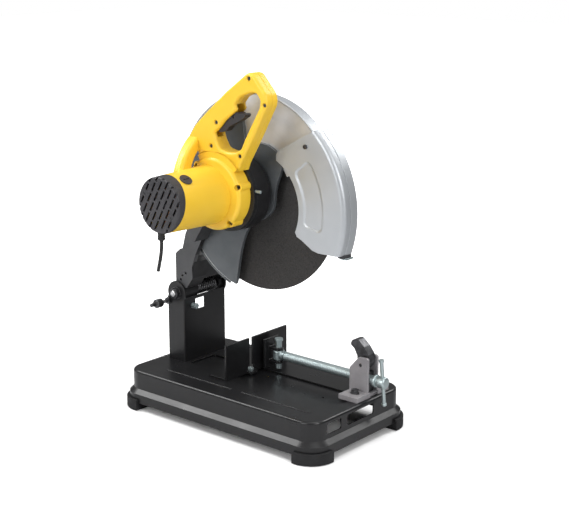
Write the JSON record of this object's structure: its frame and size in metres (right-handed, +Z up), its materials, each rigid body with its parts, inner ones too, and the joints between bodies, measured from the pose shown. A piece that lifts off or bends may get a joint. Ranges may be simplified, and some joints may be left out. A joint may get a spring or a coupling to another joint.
{
  "type": "abrasive chop saw",
  "caption": "Bench abrasive cut-off saw: motor head with guarded wheel hinged on a column over a pressed base with a tilting fence and quick-release screw vise.",
  "frame": {"origin": "centre of the base's footprint, on the floor", "axes": "+X from the pivot column towards the vise and the operator, +Y away from the motor, +Z up"},
  "size_m": [0.4974, 0.3664, 0.6542],
  "materials": {
    "black_paint": "gloss black powder paint on pressed steel",
    "black_casting": "satin black paint on a casting",
    "foot_rubber": "matt moulded rubber",
    "zinc_steel": "zinc plated steel",
    "dark_steel": "blackened steel",
    "bright_steel": "machined steel",
    "spring_steel": "oil blackened spring wire",
    "yellow_plastic": "satin moulded glass-filled nylon",
    "dark_plastic": "fine-textured moulding",
    "cord_rubber": "smooth cable sheath",
    "spun_aluminium": "spun and polished, fine radial lines",
    "guard_silver": "silver-grey paint on an alloy casting",
    "guard_plate_grey": "mid-grey satin paint on a casting",
    "vise_grey": "grey paint over sand casting",
    "wheel_grit": "bonded abrasive grit",
    "copper_coil": "varnished copper winding",
    "copper_bars": "turned copper",
    "core_laminate": "stacked steel laminations",
    "carbon": "pressed carbon",
    "bronze": "sintered bronze"
  },
  "bodies": {
    "base": {"base_shell": "black_paint", "rubber_feet": "foot_rubber", "foot_screws": "zinc_steel", "pivot_column": "black_paint", "frame_bolts": "dark_steel", "pivot_shaft": "bright_steel", "pivot_nuts": "dark_steel", "torsion_spring": "spring_steel", "vise_bracket": "vise_grey", "lever_pin": "dark_steel", "vise_nut": "dark_steel", "fence_pivot_bolt": "zinc_steel"},
    "head": {"pivot_bushes": "bronze", "swing_arm": "black_casting", "gear_housing": "black_casting", "gear_cover": "black_casting", "case_screws": "zinc_steel", "spindle_bearings": "bright_steel", "armature_bearings": "bright_steel", "stator_core": "core_laminate", "field_coils": "copper_coil", "brush_holders": "copper_bars", "carbon_brushes": "carbon", "brush_caps": "dark_plastic", "motor_housing": "yellow_plastic", "motor_screws": "dark_steel", "end_cap": "dark_plastic", "handle_near_shell": "yellow_plastic", "handle_far_shell": "yellow_plastic", "handle_screws": "dark_steel", "handle_brace": "yellow_plastic", "trigger_pin": "dark_steel", "switch_body": "dark_plastic", "strain_relief": "cord_rubber", "power_cord": "cord_rubber", "fixed_guard": "spun_aluminium", "guard_mount_plate": "guard_plate_grey", "guard_retainer": "zinc_steel"},
    "wheel_set": {"spindle": "bright_steel", "wheel_flanges": "bright_steel", "abrasive_wheel": "wheel_grit", "arbor_bolt": "dark_steel", "drive_gear": "bright_steel"},
    "rotor": {"armature_shaft": "bright_steel", "armature_core": "core_laminate", "commutator": "copper_bars", "cooling_fan": "dark_plastic"},
    "moving_guard": {"front_guard": "guard_silver", "guard_bolt": "dark_steel", "guard_clamp": "zinc_steel"},
    "trigger": {"trigger": "dark_plastic"},
    "spindle_lock": {"spindle_lock": "zinc_steel"},
    "fence": {"fence_plate": "black_paint"},
    "jaw_carrier": {"jaw_block": "zinc_steel", "jaw_pin": "zinc_steel"},
    "screw": {"vise_screw": "zinc_steel", "t_bar": "zinc_steel"},
    "jaw": {"vise_jaw": "black_paint"},
    "lever": {"release_lever": "dark_steel"},
    "lock_pin": {"lock_pin": "dark_steel"}
  },
  "joints": [
    {"name": "head_pivot", "type": "hinge", "parent": "base", "child": "head", "pos_m": [-0.187, 0.022, 0.211], "axis": [0, 1, 0], "range_deg": [0, 41], "stiffness_Nm_per_rad": 36, "springref_deg": -25.78, "deforming": ["torsion_spring"]},
    {"name": "wheel_spin", "type": "hinge", "parent": "head", "child": "wheel_set", "pos_m": [-0.003, 0.004, 0.423], "axis": [0, 1, 0], "continuous": true},
    {"name": "rotor_spin", "type": "hinge", "parent": "head", "child": "rotor", "pos_m": [-0.04072, -0.12, 0.4329], "axis": [0, 1, 0], "continuous": true},
    {"name": "guard_swing", "type": "hinge", "parent": "head", "child": "moving_guard", "pos_m": [-0.003, 0.018, 0.423], "axis": [0, 1, 0], "range_deg": [-35, 0]},
    {"name": "trigger_pull", "type": "hinge", "parent": "head", "child": "trigger", "pos_m": [0.009, -0.077, 0.574], "axis": [0, 1, 0], "range_deg": [0, 8], "stiffness_Nm_per_rad": 1.2, "springref_deg": -17.19},
    {"name": "spindle_lock_push", "type": "slide", "parent": "head", "child": "spindle_lock", "axis": [-1, 0, 0], "range_m": [0, 0.003], "stiffness_N_per_m": 400, "springref_m": -0.004},
    {"name": "fence_mitre", "type": "hinge", "parent": "base", "child": "fence", "pos_m": [-0.033, 0.004, 0.0745], "axis": [0, 0, 1], "range_deg": [0, 45]},
    {"name": "jaw_feed", "type": "slide", "parent": "base", "child": "jaw_carrier", "axis": [1, 0, 0], "range_m": [0, 0.101]},
    {"name": "screw_turn", "type": "hinge", "parent": "jaw_carrier", "child": "screw", "pos_m": [0.2, 0.048, 0.105], "axis": [1, 0, 0], "range_deg": [0, 9000]},
    {"name": "jaw_swivel", "type": "hinge", "parent": "jaw_carrier", "child": "jaw", "pos_m": [0, 0.048, 0.105], "axis": [0, 0, 1], "range_deg": [-45, 45]},
    {"name": "lever_release", "type": "hinge", "parent": "base", "child": "lever", "pos_m": [0.204, 0.051, 0.1327], "axis": [0, 1, 0], "range_deg": [0, 50]},
    {"name": "lock_pin_pull", "type": "slide", "parent": "base", "child": "lock_pin", "axis": [0, -1, 0], "range_m": [0, 0.01]}
  ],
  "couplings": [
    {"joint": "rotor_spin", "follows": "wheel_spin", "ratio": -3.7273},
    {"joint": "guard_swing", "follows": "head_pivot", "ratio": -0.85},
    {"joint": "jaw_feed", "follows": "screw_turn", "m_per_rad": 0.00063662}
  ]
}
